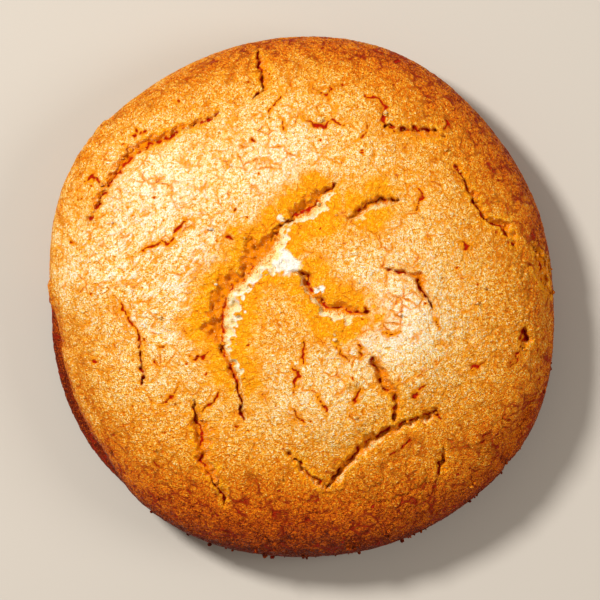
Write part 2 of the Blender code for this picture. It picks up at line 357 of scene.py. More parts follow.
noise.seed_set(CRACK_SEED)
for name, route in TEARS.items():
    path = stations(route)
    near = near_route(path, NEAR)
    off, width = nearest_on(path, (x + ragged_x)[near], (y + ragged_y)[near])
    smooth_off, _ = nearest_on(path, wall_x[near], wall_y[near])
    width = width * (1 + WIDTH_BREAK * broken[near]) * closing[near]
    _, up_bank, slit_here, outside = tear_section(off, width)
    depth, _, _, _ = tear_section(off + (smooth_off - off) * wideness(width), width)
    depth = depth * (1 + POCKET_SWING * pockets[near])
    opening = smooth_step(SLIT_OPEN + SLIT_BREAK * broken[near])
    slit_here = slit_here * opening * smooth_step(width / SLIT_WIDTH)
    depth = depth + SLIT_DEPTH * slit_here * (outside < 0)
    deeper = depth > torn_depth[near]
    torn_depth[near] = np.where(deeper, depth, torn_depth[near])
    shows = smooth_step((width - CRUMB_WIDTH[0]) / (CRUMB_WIDTH[1] - CRUMB_WIDTH[0]))
    inside = smooth_step(0.5 - outside / EDGE_BLUR) * shows
    pale = PALENESS.get(name, EARLY_PALENESS) * smooth_step(width / PALE_WIDTH)
    torn[near] = np.maximum(torn[near], inside)
    slit[near] = np.maximum(slit[near], slit_here)
    bank[near] = np.where(deeper, up_bank * pale, bank[near])
    beside = np.maximum(outside, 0)
    sink = SHOULDER_DEPTH * np.sqrt(width) * np.exp(-((beside / SHOULDER_REACH) ** 2))
    sunk[near] = np.maximum(sunk[near], sink)
    curl = LIP_SHARE * CRACK_DEPTH * width * np.exp(-((beside / LIP_REACH) ** 2)) * (outside > 0)
    lip[near] = np.maximum(lip[near], curl)
    # Beside the wide tears the amber is partly the crust's own buttery tone and partly painted glow
    if name in AMBER_TEARS:
        fade = 1 - smooth_step((outside - GLOW_START) / GLOW_REACH)
        fade = fade * np.clip(width / GLOW_WIDTH, 0, 1) * np.where(off > 0, 1, WALL_GLOW)
        glow[near] = np.maximum(glow[near], fade)
    # Along every torn edge the crust is painted amber as warm shade on its sunken shoulders
    edge_shade = EDGE_SHADE * np.exp(-((beside / EDGE_SHADE_REACH) ** 2))
    glow[near] = np.maximum(glow[near], edge_shade * smooth_step(width / EDGE_SHADE_WIDTH))

for patch_x, patch_y, patch_radius in BARE_PATCHES:
    from_patch = np.hypot(x + BARE_RAGGED * ragged_x - patch_x, y + BARE_RAGGED * ragged_y - patch_y)
    bare = smooth_step((patch_radius - from_patch) / BARE_BLUR)
    bank = np.where(bare > torn, BARE_PALENESS, bank)
    torn = np.maximum(torn, bare)
    torn_depth *= 1 - BARE_FILL * bare
    slit *= 1 - bare

# The fine splits
# As the crust dried it split between its lumps, less than half a millimetre wide, and here and
# there a bubble left a pit. They are read off the picture, in its pixels. Each is dug a little and
# painted dark red as the shade in it, with orange painted shade beside it.
PIXEL = 0.1256  # millimetres of the cookie in one pixel of the 600
PICTURE_MIDDLE = (301, 297)  # the pixel over the middle of the cookie
SPLIT_DEPTH = 0.24
SPLIT_WIDTH = 0.4
SPLIT_END = 0.3  # how wide a split is at its ends, as a share
SPLIT_BREAK = 2.2  # how much its width varies in short stretches, so that it closes in places
SPLIT_SHADE_SHARE = 0.4  # how far the painted shade beside it reaches, as a share of its width
SPLIT_SHADE_REACH = 0.3  # and how far at least
SPLIT_KINK = 0.35
KINK_SIZE = 0.8
SPLIT_NEAR = 1.0  # no split changes the crust further off than this
SPLITS = {
    "left_fork": ((123, 300), (126, 314), (139, 331)),
    "glossy_split": ((140, 252), (155, 244), (168, 241), (178, 233), (184, 220)),
    "by_the_main_tear": ((190, 356), (203, 355), (209, 350)),
    "under_the_main_tear": ((203, 411), (214, 401), (220, 388)),
    "by_the_lower_tear": ((391, 453), (401, 446), (411, 438)),
    "lower_left_pair": ((162, 403), (168, 399), (181, 381)),
    "arc_branch": ((84, 180), (96, 176), (101, 187)),
    "upper_right_branch": ((443, 130), (447, 123), (445, 118)),
    "top_branch": ((278, 96), (276, 105), (268, 111)),
    "top_tick": ((281, 117), (285, 130)),
    "right_rim_split": ((522, 327), (524, 338), (521, 346), (516, 356), (511, 363)),
    "upper_chain": ((300, 119), (311, 125), (323, 125), (332, 121), (344, 125)),
    "upper_hook": ((367, 96), (376, 98), (384, 103), (386, 109), (383, 115), (384, 124), (396, 131)),
    "upper_right_tick": ((367, 126), (365, 134), (357, 140)),
    "top_tick_right": ((330, 88), (329, 95), (317, 94)),
    "right_split": ((415, 207), (420, 200), (422, 195), (418, 188)),
    "right_bow": ((459, 242), (466, 246), (473, 244)),
    "plateau_split": ((303, 339), (304, 347), (302, 357), (305, 362)),
    "plateau_tick": ((336, 345), (347, 359)),
    "plateau_drop": ((294, 366), (297, 372), (296, 381), (294, 390)),
    "plateau_bow": ((318, 394), (322, 404), (327, 409)),
    "lower_plateau_bow": ((292, 406), (297, 417), (302, 421)),
    "by_the_falling_crack": ((353, 401), (355, 394), (361, 387)),
    "right_of_the_falling_crack": ((416, 396), (418, 389), (423, 382)),
    "below_the_centre": ((357, 343), (361, 349), (361, 357)),
    "right_plateau_split": ((386, 331), (388, 334), (401, 333)),
    "lower_right_split": ((486, 432), (477, 447)),
    "right_tick": ((435, 317), (438, 327)),
    "far_right_tick": ((472, 371), (474, 365), (484, 360)),
    "bottom_left_tick": ((157, 457), (159, 466)),
}
PITS = (
    (136, 129), (142, 131), (134, 134), (178, 103), (72, 241), (233, 209), (231, 235), (253, 142),
    (397, 59), (163, 346), (154, 361), (94, 359), (445, 457), (237, 423), (221, 348), (365, 309),
)
PIT_RADIUS = 0.3
PIT_DEPTH = 0.3


def from_picture(pixel):
    """The place on the cookie, in millimetres, under a pixel of the picture."""
    return (pixel[0] - PICTURE_MIDDLE[0]) * PIXEL, (PICTURE_MIDDLE[1] - pixel[1]) * PIXEL


split = np.zeros(len(x))
by_split = np.zeros(len(x))
kinked_x = x + ragged_x + SPLIT_KINK * noise_over(x, y, z, KINK_SIZE, 61)
kinked_y = y + ragged_y + SPLIT_KINK * noise_over(x, y, z, KINK_SIZE, 67)
for pixels in SPLITS.values():
    path = np.array([(*from_picture(pixel), SPLIT_WIDTH) for pixel in pixels])
    path[(0, -1), 2] = SPLIT_END * SPLIT_WIDTH
    near = near_route(path, SPLIT_NEAR)
    off, width = nearest_on(path, kinked_x[near], kinked_y[near])
    width = width * (1 + SPLIT_BREAK * broken[near])
    open_here = near_to(abs(off), np.maximum(width, 1.6 * NARROWEST) / 2, 0.3)
    split[near] = np.maximum(split[near], open_here)
    closeness = near_to(abs(off), SPLIT_SHADE_SHARE * abs(width) + SPLIT_SHADE_REACH, 0.5)
    by_split[near] = np.maximum(by_split[near], closeness)
pits = np.zeros(len(x))
for pixel in PITS:
    pit_x, pit_y = from_picture(pixel)
    from_pit = np.hypot(kinked_x - pit_x, kinked_y - pit_y)
    pits = np.maximum(pits, on_crown * near_to(from_pit, PIT_RADIUS / 1.6, 0.6))
    by_split = np.maximum(by_split, on_crown * near_to(from_pit, PIT_RADIUS, 1))

# Places where the crust is folded, scuffed or puffed up, off the picture too: pixels on the way,
# half its width, how high it stands and how much browner it is
FOLDS = {
    "scuff": (((127, 316), (141, 325), (155, 331), (172, 333), (185, 335)), 0.45, -0.1, -0.35),
    "groove_by_the_rim": (((530, 401), (520, 426), (510, 445), (503, 459)), 0.7, -0.4, 0.15),
    "lip_over_the_foot": (((66, 352), (71, 375), (84, 408), (99, 436)), 0.6, 0.3, -0.25),
    "blister": (((348, 382), (350, 382)), 0.6, 0.45, 0.2),
    "left_bulge": (((49, 285), (50, 300)), 0.6, 0.35, 0.1),
    "upper_left_ledge": (((80, 158), (92, 141), (104, 124)), 0.5, 0.3, 0.1),
}
FOLD_REACH = 12.0  # no fold changes the crust further from its middle than this
folded = np.zeros(len(x))
fold_browning = np.zeros(len(x))
for pixels, half_width, rise, browner in FOLDS.values():
    path = np.array([(*from_picture(pixel), half_width) for pixel in pixels])
    near = np.flatnonzero(np.hypot(x - path[:, 0].mean(), y - path[:, 1].mean()) < FOLD_REACH)
    off, _ = nearest_on(path, (x + ragged_x)[near], (y + ragged_y)[near])
    closeness = np.exp(-((off / half_width) ** 2)) * (ring[near] < TOP_SHEET)
    folded[near] += rise * closeness
    fold_browning[near] += browner * closeness

# The lumps of the crust
# Butter dough bakes to a crust of sugar and flour grains that clump into lumps of one to two
# millimetres, with creases between them. Where melted butter dried the crust is finely wrinkled.
LUMPS = ((2.3, 0.12), (1.15, 0.09))  # size and height
GRAINS = ((0.7, 0.04), (0.4, 0.08))
CRUMB_LUMPS = ((0.9, 0.16), (0.45, 0.14))
FLOOR_LUMPS = 0.3  # how lumpy the crumb is down in a tear, as a share of that on the bank
CREASE_WIDTH = 0.16
CREASE_DEPTH = 0.12
RIM_SMOOTHING = 0.4  # how much flatter the lumps are at the rim
RIM_START = 0.85  # the rim starts at this share of the radius
RIM_SPREAD = 0.12  # and is as smooth as it gets this much further out
SMOOTH_FOOT = 1.2  # the lowest part of the side, which the tray kept smooth
VALLEY_WIDTH = 0.3  # the share over which the crust is painted browner towards a crease, as shade
VALLEY_SHADE = 0.05
CRAZED_PATCH = 6.0  # the creases open in patches of about this size
SHEEN_PLACE = (-17.0, 5.0)  # where melted butter dried to a gloss
SHEEN_SIZE = 13.0
WRINKLE_SIZE = (1.7, 0.4)  # along and across a wrinkle, which runs from lower left to upper right
WRINKLE_WANDER = 0.3
WRINKLE_HEIGHT = 0.35
# how much paler the wrinkles' crests are painted, as highlights, and how much browner their hollows, as
# shade
WRINKLE_LIGHT_AND_SHADE = 1.1

from_sheen = np.hypot(x - SHEEN_PLACE[0], y - SHEEN_PLACE[1])
sheen = smooth_step(1.3 - from_sheen / SHEEN_SIZE)
crazed = smooth_step(0.8 + 1.5 * noise_over(x, y, z, CRAZED_PATCH, 31))
lumps = np.zeros(len(x))
crease = np.zeros(len(x))
valley = np.zeros(len(x))
for size, lump_height in LUMPS:
    from_middle, to_next = cells_over(x + ragged_x, y + ragged_y, z, size, 11 + size)
    lumps += lump_height * (0.5 - from_middle**2)
    valley += smooth_step(1 - to_next / VALLEY_WIDTH)
    crease = np.maximum(crease, smooth_step(1 - to_next * size / CREASE_WIDTH) * size / LUMPS[0][0])
grain = sum(height * noise_over(x, y, z, size, 17 + size) for size, height in GRAINS)
along, across = (x + y) / math.sqrt(2), (x - y) / math.sqrt(2)
along, across = along / WRINKLE_SIZE[0], (across + WRINKLE_WANDER * ragged_x) / WRINKLE_SIZE[1]
wrinkles = abs(noise_over(along, across, 0 * x, 1, 3))
crumb = sum(height * (0.5 - cells_over(x, y, z, size, 23)[0]) for size, height in CRUMB_LUMPS)
crumb *= FLOOR_LUMPS + (1 - FLOOR_LUMPS) * smooth_step(3 * bank)
crease = crease * crazed * (1 - torn)

points = np.stack((x, y, z), axis=1)
sheet = points.reshape(GRID_SQUARES + 1, GRID_SQUARES + 1, 3)
normals = np.cross(np.gradient(sheet, axis=1), np.gradient(sheet, axis=0)).reshape(-1, 3)
normals /= np.linalg.norm(normals, axis=1, keepdims=True)
underneath = smooth_step((reach < 0.995) * (SMOOTH_FOOT - z)) * (ring > TOP_SHEET)
relief = lumps + grain + WRINKLE_HEIGHT * sheen * wrinkles - CREASE_DEPTH * crease
relief *= 1 - RIM_SMOOTHING * smooth_step((reach - RIM_START) / RIM_SPREAD)
raised = relief * (1 - torn) + crumb * torn + lip + folded
dug = sunk + torn_depth + np.maximum(SPLIT_DEPTH * split, PIT_DEPTH * pits)
points += normals * (raised * (1 - underneath))[:, None]
points[:, 2] = np.maximum(points[:, 2] - dug * (1 - underneath), 0)

# The underside
# The face that lay on the tray. It baked flat against the metal, and browner than the crust
# above.
SEAM_STEPS = 4  # squares of the fine sheet to each one of the underside's
SEAM_SHARE = 0.012  # width of the seam between them, as a share of the radius
UNDER_SQUARES = GRID_SQUARES // SEAM_STEPS
under_ring, under_angle = square_to_disc(UNDER_SQUARES)
under_radius = outline_radius(under_angle) + foot_reach(under_angle) * FOOT_SWELL
under_reach = under_ring * (GRID_END - SEAM_SHARE)
under_points = np.stack(
    (
        under_reach * under_radius * np.cos(under_angle),
        under_reach * under_radius * np.sin(under_angle),
        0 * under_ring,
    ),
    axis=1,
)


def sheet_faces(squares, first):
    """The squares of a sheet whose points are numbered row by row from first."""
    corners = np.arange(squares * (squares + 1)).reshape(squares, squares + 1)[:, :-1].ravel() + first
    return np.stack((corners, corners + 1, corners + squares + 2, corners + squares + 1), axis=1)


def sheet_edge(squares, first):
    """The point numbers round a sheet's edge, the same way round for any number of squares."""
    row = squares + 1
    steps = np.arange(squares)
    bottom = steps
    right = squares + steps * row
    top = squares * row + squares - steps
    left = (squares - steps) * row
    return np.concatenate((bottom, right, top, left)) + first


def join_edges(outer, inner):
    """Faces from a finely divided edge to one with a quarter as many points."""
    faces = []
    for i, start in enumerate(inner):
        end = inner[(i + 1) % len(inner)]
        fine = [outer[(SEAM_STEPS * i + step) % len(outer)] for step in range(SEAM_STEPS + 1)]
        faces.append([int(end), int(start), *map(int, fine)])
    return faces


first_under = len(points)
crust_faces = sheet_faces(GRID_SQUARES, 0)
under_faces = sheet_faces(UNDER_SQUARES, first_under)[:, ::-1]
seam = join_edges(sheet_edge(GRID_SQUARES, 0), sheet_edge(UNDER_SQUARES, first_under))
all_points = np.concatenate((points, under_points))
outline_middle = (all_points.max(axis=0) + all_points.min(axis=0)) / 2
all_points[:, :2] -= outline_middle[:2]
fit = np.array((cookie_width, cookie_depth, cookie_height)) / np.ptp(all_points, axis=0)
all_points *= np.minimum(fit, 1.0)

mesh = bpy.data.meshes.new("baked_cookie")
mesh.from_pydata((all_points * MM).tolist(), [], crust_faces.tolist() + under_faces.tolist() + seam)
mesh.shade_smooth()
cookie = bpy.data.objects.new("baked_cookie", mesh)
bpy.context.scene.collection.objects.link(cookie)

# What the oven did, and the light and shade painted with it
# Each point remembers how it baked, and the crust's material reads this: browner towards the rim,
# amber by the wide tears, pale on the torn banks and painted dark as shade deep down. The browning
# also carries painted shade in the valleys between lumps, and painted highlights and shade along the
# butter's wrinkles.

# How much browner the crust gets towards the rim, and at the rim alone, and how this changes round
# the cookie: (waves round the rim, share, crest in degrees). Round the cookie the outer and side
# browning make the crust darker towards the lower right and the bottom.
MIDDLE_BROWNING = -0.02
OUTER_BROWNING = ((0, 0.86, 0), (1, 0.47, -66), (2, 0.3, 74))
OUTER_POWER = 3
RIM_BROWNING = ((0, 0.15, 0), (1, 0.3, 90))
RIM_POWER = 10
SIDE_BROWNING = ((0, 0.45, 0), (1, 1.1, -90))  # where the side curves down
SIDE_TOP = 10.0
SIDE_FADE = 7.0
FOOT_BROWNING = 0.7
RIM_PATCHES = 0.28  # how patchy the crust is at the rim
CRUST_PATCHES = 0.06  # and everywhere
BROWNING_LIMITS = (-0.3, 1.6)
UNDERSIDE_BROWNING = 0.9
# Places that stayed paler or got browner: (x, y, radius, how much)
PATCHES = (
    (11.5, -4.0, 6.0, -0.38),
    (-3.0, 18.0, 6.0, -0.24),
    (-14.0, 2.0, 6.0, -0.1),
    (-19.0, 14.0, 6.5, -0.3),
    (3.0, 7.0, 6.0, 0.15),
    (-3.0, -4.0, 5.5, 0.27),
    (-24.0, -10.0, 7.0, -0.18),
    (2.0, -15.0, 6.0, -0.07),
    (-30.0, 4.0, 6.0, -0.25),
    (0.0, -30.0, 9.0, 0.15),
    (-20.0, -19.0, 6.0, -0.2),
    (3.6, 27.0, 6.0, -0.12),
    (12.0, -14.0, 8.0, 0.14),
    (17.0, 24.0, 6.0, -0.1),
    (31.0, -3.0, 6.0, -0.12),
)


def round_cookie(swings):
    return sum(share * np.cos(waves * (angle - math.radians(crest))) for waves, share, crest in swings)


outer_browning = round_cookie(OUTER_BROWNING) * reach**OUTER_POWER
rim_browning = round_cookie(RIM_BROWNING) * reach**RIM_POWER
side_browning = round_cookie(SIDE_BROWNING) * smooth_step((SIDE_TOP - z) / SIDE_FADE)
foot_browning = FOOT_BROWNING * foot_reach(angle) / FOOT_SPREAD * (1 - above_foot)
patches = noise_over(x, y, z, 5.0, 40) * 0.5 + noise_over(x, y, z, 11.0, 44) * 0.5
rim_patches = noise_over(x, y, z, 2.2, 47) + 0.7 * noise_over(x, y, z, 1.0, 49)
placed_patches = sum(
    amount * np.exp(-((x - patch_x) ** 2 + (y - patch_y) ** 2) / patch_radius**2)
    for patch_x, patch_y, patch_radius, amount in PATCHES
)
browning_and_shade = MIDDLE_BROWNING + outer_browning + rim_browning + side_browning + foot_browning
browning_and_shade += placed_patches + fold_browning + CRUST_PATCHES * patches
browning_and_shade += RIM_PATCHES * rim_patches * reach**4
# Painted shade in the valleys towards the creases between lumps
browning_and_shade += VALLEY_SHADE * (valley - valley.mean())
# Painted highlights along the crests of the butter's wrinkles and painted shade in their hollows
browning_and_shade += WRINKLE_LIGHT_AND_SHADE * sheen * (wrinkles.mean() - wrinkles)
baking = {
    "browning_and_shade": np.clip(browning_and_shade, *BROWNING_LIMITS),
    "amber": np.clip(glow * (1 + patches), 0, 1),
    "torn": torn,
    "bank": bank,
    "slit": slit,
    "split": np.maximum(split, pits),
    "by_split": by_split,
    "crease": crease,
    "sheen": sheen,
}
under_baking = {"browning_and_shade": UNDERSIDE_BROWNING}
for name, values in baking.items():
    full = np.concatenate((values, np.full(len(under_points), under_baking.get(name, 0.0))))
    layer = mesh.attributes.new(name, "FLOAT", "POINT")
    layer.data.foreach_set("value", full.astype(np.float32))


def colour(code):
    """An sRGB hex colour as linear red, green, blue and alpha."""
    parts = [int(code[i : i + 2], 16) / 255 for i in (1, 3, 5)]
    linear = [part / 12.92 if part <= 0.04045 else ((part + 0.055) / 1.055) ** 2.4 for part in parts]
    return (*linear, 1.0)


def add_node(tree, kind, sockets, output=0, **settings):
    """Adds a node with its settings, sets or links its sockets, and gives back one of its outputs."""
    node = tree.nodes.new(kind)
    for setting, value in settings.items():
        setattr(node, setting, value)
    for socket, value in sockets.items():
        if isinstance(value, bpy.types.NodeSocket):
            tree.links.new(value, node.inputs[socket])
        else:
            node.inputs[socket].default_value = value
    return node.outputs[output]


# Baked butter dough: a dry, sandy crust with a trace of melted butter that gives fine glints, and with
# highlights painted on the tops of its grains and shade painted in its hollows. Fat and sugar let some
# light in, so shadows in it stay warm.
# The whitest colour is a painted highlight on the tops of the grains
GRAIN_HIGHLIGHT_WHITE = colour("#FFFAEE")
CREAM = colour("#FDEBC8")
PALE_GOLD = colour("#F8D48A")
GOLD = colour("#F0AE30")
ORANGE = colour("#E08A12")
BROWN = colour("#DC6E06")
DARK_BROWN = colour("#B84C02")
BURNT = colour("#5A1402")
AMBER = colour("#FDB40A")
DEEP_AMBER = colour("#F08E06")
BARE_CRUMB = colour("#FFFAF0")
CRUMB = colour("#FBE09A")
# Painted warm shade on the crumb down on a tear's wall and floor
SHADED_CRUMB = colour("#F28C00")
# Painted shade in the cracks: dark red in slits, splits, pits and burst bubbles, orange to brown in
# creases, fine cracks and beside the splits
SPLIT_SHADE = colour("#B41A00")
BROWN_SPLIT_SHADE = colour("#8A1E02")
CREASE_SHADE = colour("#F2960C")
# What the crust turns to as it browns, and over which stretch of browning. The palest stops are
# painted highlights on the grains' tops, and the grains' hollows are painted browner as shade
BAKED_COLOURS = (
    (CREAM, -0.5, -0.25),
    (PALE_GOLD, -0.25, -0.02),
    (GOLD, -0.02, 0.25),
    (ORANGE, 0.25, 0.5),
    (BROWN, 0.5, 0.8),
    (DARK_BROWN, 0.8, 1.1),
    (BURNT, 1.1, 1.6),
)
GRAIN_SIZE = 0.36  # a grain of sugar
GRAIN_HEIGHT = 0.3
CRYSTAL_SIZE = 0.3  # grains of sugar that catch the light
CRAZE_SIZE = 2.0  # cells of the crust between its finest cracks
CRAZED_SIZE = 2.2  # the spots in which those cracks show
BUBBLE_SIZE = 1.3
FINE_SIZE = 0.14  # flour, drawn coarser than it is so that it shows
PATCH_SIZE = 1.2
GRAIN_SHARE = -0.7  # what each pattern adds to the roughness of the crust
FINE_SHARE = 1.7
PATCH_SHARE = 0.15
SURFACE_MEAN = 0.575
GRAIN_LIGHT_AND_SHADE = 1.2  # how much darker a hollow is painted than a top: painted shade in the hollows and painted highlights on the tops
WARP_SIZE = 0.8
WARP_REACH = 0.4
DRY_ROUGHNESS = 0.66
CRYSTAL_ROUGHNESS = 0.31
SHEEN_SMOOTHING = -0.18
BUTTER_IOR = 1.46
LIGHT_IN_DOUGH = 0.8  # how deep light gets into baked dough

crust = bpy.data.materials.new("baked_butter_dough")
crust.use_nodes = True
tree = crust.node_tree
shader = tree.nodes["Principled BSDF"]


def per_metre(size):
    """The scale that gives a pattern lumps of a size in millimetres."""
    return 1 / (size * MM)


def lay_over(under, over, where, low, high, most=1.0):
    """Lays a colour over another where a value rises from low to high."""
    limits = {"Value": where, "From Min": low, "From Max": high, "To Min": 0.0, "To Max": most}
    share = add_node(tree, "ShaderNodeMapRange", limits)
    return add_node(tree, "ShaderNodeMix", {"Factor": share, 6: under, 7: over}, 2, data_type="RGBA")


from_mesh = {
    name: add_node(tree, "ShaderNodeAttribute", {}, "Fac", attribute_name=name) for name in baking
}
place = add_node(tree, "ShaderNodeTexCoord", {}, "Object")
bend = add_node(tree, "ShaderNodeTexNoise", {"Vector": place, "Scale": per_metre(WARP_SIZE)}, "Color")
bend = add_node(tree, "ShaderNodeVectorMath", {0: bend, 1: (0.5, 0.5, 0.5)}, operation="SUBTRACT")
bend = add_node(tree, "ShaderNodeVectorMath", {0: bend, "Scale": 2 * WARP_REACH * MM}, operation="SCALE")
bent = add_node(tree, "ShaderNodeVectorMath", {0: place, 1: bend}, operation="ADD")

# The grains stand up as small rounded lumps, in a crust that is finely rough and patchy
sockets = {"Vector": bent, "Scale": per_metre(GRAIN_SIZE)}
grain_pit = add_node(tree, "ShaderNodeTexVoronoi", sockets, "Distance")
sockets = {"Vector": place, "Scale": per_metre(FINE_SIZE), "Detail": 1.0}
fine = add_node(tree, "ShaderNodeTexNoise", sockets, "Fac")
sockets = {"Vector": place, "Scale": per_metre(PATCH_SIZE), "Detail": 4.0, "Roughness": 0.6}
patchy = add_node(tree, "ShaderNodeTexNoise", sockets, "Fac")
surface = add_node(tree, "ShaderNodeMath", {0: grain_pit, 1: GRAIN_SHARE}, operation="MULTIPLY")
sockets = {0: fine, 1: FINE_SHARE, 2: surface}
surface = add_node(tree, "ShaderNodeMath", sockets, operation="MULTIPLY_ADD")
sockets = {0: patchy, 1: PATCH_SHARE, 2: surface}
surface = add_node(tree, "ShaderNodeMath", sockets, operation="MULTIPLY_ADD")

# The crust dries into cells with fine cracks between them, which show in places as painted lines of shade
sockets = {"Vector": bent, "Scale": per_metre(CRAZE_SIZE)}
craze_edge = add_node(tree, "ShaderNodeTexVoronoi", sockets, "Distance", feature="DISTANCE_TO_EDGE")
sockets = {"Vector": place, "Scale": per_metre(CRAZED_SIZE), "Detail": 2.0}
craze_where = add_node(tree, "ShaderNodeTexNoise", sockets, "Fac")
sockets = {"Value": craze_edge, "From Min": 0.01, "From Max": 0.12, "To Min": 1.0, "To Max": 0.0}
craze_line = add_node(tree, "ShaderNodeMapRange", sockets)
sockets = {"Value": craze_where, "From Min": 0.46, "From Max": 0.62}
craze_here = add_node(tree, "ShaderNodeMapRange", sockets)
craze = add_node(tree, "ShaderNodeMath", {0: craze_line, 1: craze_here}, operation="MULTIPLY")

# Here and there a bubble burst, and its hole is painted dark as shade
sockets = {"Vector": bent, "Scale": per_metre(BUBBLE_SIZE)}
bubble_edge = add_node(tree, "ShaderNodeTexVoronoi", sockets, "Distance")
bubble_kind = add_node(tree, "ShaderNodeTexVoronoi", sockets, "Color")
bubble_kind = add_node(tree, "ShaderNodeSeparateColor", {0: bubble_kind})
sockets = {"Value": bubble_edge, "From Min": 0.06, "From Max": 0.24, "To Min": 1.0, "To Max": 0.0}
bubble_hole = add_node(tree, "ShaderNodeMapRange", sockets)
sockets = {"Value": bubble_kind, "From Min": 0.84, "From Max": 0.86}
bubble_here = add_node(tree, "ShaderNodeMapRange", sockets)
bubble = add_node(tree, "ShaderNodeMath", {0: bubble_hole, 1: bubble_here}, operation="MULTIPLY")

# The tops of the grains are painted palest, up to white, as highlights, and the hollows between them are
# painted browner as shade
level = add_node(tree, "ShaderNodeMath", {0: SURFACE_MEAN, 1: surface}, operation="SUBTRACT")
sockets = {0: level, 1: GRAIN_LIGHT_AND_SHADE, 2: from_mesh["browning_and_shade"]}
browning_and_grain_light = add_node(tree, "ShaderNodeMath", sockets, operation="MULTIPLY_ADD")
skin = GRAIN_HIGHLIGHT_WHITE
for baked_colour, start, end in BAKED_COLOURS:
    skin = lay_over(skin, baked_colour, browning_and_grain_light, start, end)
# In the amber the hollows are painted deeper as shade, and the tops paler as painted highlights
amber = lay_over(AMBER, DEEP_AMBER, level, -0.05, 0.15)
amber = lay_over(amber, PALE_GOLD, level, -0.2, -0.5, 0.6)
skin = lay_over(skin, amber, from_mesh["amber"], 0.0, 0.6)
# Creases, fine cracks, burst bubbles and the crust beside splits and pits are painted orange to dark red as
# the shade in them
crack_shade = lay_over(CREASE_SHADE, BROWN_SPLIT_SHADE, from_mesh["browning_and_shade"], 0.2, 0.8)
skin = lay_over(skin, crack_shade, from_mesh["crease"], 0.2, 0.9, 0.5)
skin = lay_over(skin, crack_shade, craze, 0.0, 0.6, 0.85)
skin = lay_over(skin, SPLIT_SHADE, craze, 0.85, 1.0, 0.6)
skin = lay_over(skin, crack_shade, bubble, 0.0, 0.4)
skin = lay_over(skin, SPLIT_SHADE, bubble, 0.5, 0.9)
skin = lay_over(skin, crack_shade, from_mesh["by_split"], 0.0, 0.9)

# Torn crumb is palest where it stands proud on the bank, with painted highlights on its grains' tops, and
# down on the tear's wall and floor it is painted deep orange as the warm shade in the tear
sockets = {0: level, 1: -0.6, 2: from_mesh["bank"]}
crumb_height = add_node(tree, "ShaderNodeMath", sockets, operation="MULTIPLY_ADD")
inside = lay_over(SHADED_CRUMB, CRUMB, crumb_height, 0.12, 0.4)
inside = lay_over(inside, BARE_CRUMB, crumb_height, 0.5, 1.0)
dough = lay_over(skin, inside, from_mesh["torn"], 0.0, 1.0)
# Slits, splits and pits are painted dark red as shade
dough = lay_over(dough, SPLIT_SHADE, from_mesh["slit"], 0.2, 0.8)
dough = lay_over(dough, SPLIT_SHADE, from_mesh["split"], 0.1, 0.7)
tree.links.new(dough, shader.inputs["Base Color"])

sockets = {"Vector": bent, "Scale": per_metre(CRYSTAL_SIZE)}
crystal = add_node(tree, "ShaderNodeTexVoronoi", sockets, "Color")
crystal = add_node(tree, "ShaderNodeSeparateColor", {0: crystal})
sockets = {"Value": crystal, "From Min": 0.75, "From Max": 0.8}
sockets |= {"To Min": DRY_ROUGHNESS, "To Max": CRYSTAL_ROUGHNESS}
roughness = add_node(tree, "ShaderNodeMapRange", sockets)
sockets = {0: from_mesh["sheen"], 1: SHEEN_SMOOTHING, 2: roughness}
roughness = add_node(tree, "ShaderNodeMath", sockets, operation="MULTIPLY_ADD")
tree.links.new(roughness, shader.inputs["Roughness"])
height = add_node(tree, "ShaderNodeMath", {0: craze, 1: -0.08, 2: surface}, operation="MULTIPLY_ADD")
height = add_node(tree, "ShaderNodeMath", {0: bubble, 1: -0.4, 2: height}, operation="MULTIPLY_ADD")
sockets = {"Height": height, "Strength": 1.0, "Distance": GRAIN_HEIGHT * MM}
tree.links.new(add_node(tree, "ShaderNodeBump", sockets), shader.inputs["Normal"])
shader.inputs["IOR"].default_value = BUTTER_IOR
shader.inputs["Specular IOR Level"].default_value = 0.09
shader.inputs["Subsurface Weight"].default_value = 0.15
shader.inputs["Subsurface Radius"].default_value = (1.0, 0.42, 0.12)
shader.inputs["Subsurface Scale"].default_value = LIGHT_IN_DOUGH * MM
mesh.materials.append(crust)

# The bake map: the crust's sheet fills most of the square, and the underside's a corner
CRUST_MAP = (0.01, 0.78)  # where it starts, and its share of the square
UNDER_MAP = (0.81, 0.18)
bake_map = mesh.uv_layers.new(name="OFBake")
steps = np.linspace(0, 1, GRID_SQUARES + 1)
under_steps = np.linspace(0, 1, UNDER_SQUARES + 1)
crust_uv = np.stack([part.ravel() for part in np.meshgrid(steps, steps)], axis=1)
under_uv = np.stack([part.ravel() for part in np.meshgrid(under_steps, under_steps)], axis=1)
crust_uv = crust_uv * CRUST_MAP[1] + CRUST_MAP[0]
under_uv = under_uv * UNDER_MAP[1] + UNDER_MAP[0]
point_uv = np.concatenate((crust_uv, under_uv))
loop_points = np.empty(len(mesh.loops), np.int32)
mesh.loops.foreach_get("vertex_index", loop_points)
loop_uv = point_uv[loop_points]
bake_map.data.foreach_set("uv", loop_uv.ravel().astype(np.float32))

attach(cookie, "root")
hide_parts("cookie")

# The crumbs
# Grains of dough that broke off as the crust tore, and stuck to the rim and in the tears. They are
# of the same baked dough, each as brown as the place where it lies.
LOOSE_CRUMBS = 260
CRUMB_RADIUS = (0.12, 0.34)  # smallest and largest
CRUMB_SINK = 0.5  # how much of its radius each crumb is stuck in
CRUMB_SEED = 12
CRUMB_RIM = 0.86  # outside this share of the radius a crumb lies on the rim
CRUMB_LOWEST = 1.5  # none sticks lower down the side than this
FEWEST = 0.02  # how few stick to the upper half of the rim, as the picture shows
# How likely a crumb is to stick at each point of the top, the rim and a tear
ON_TOP, ON_RIM, IN_TEAR = 0.05, 0.3, 1.5

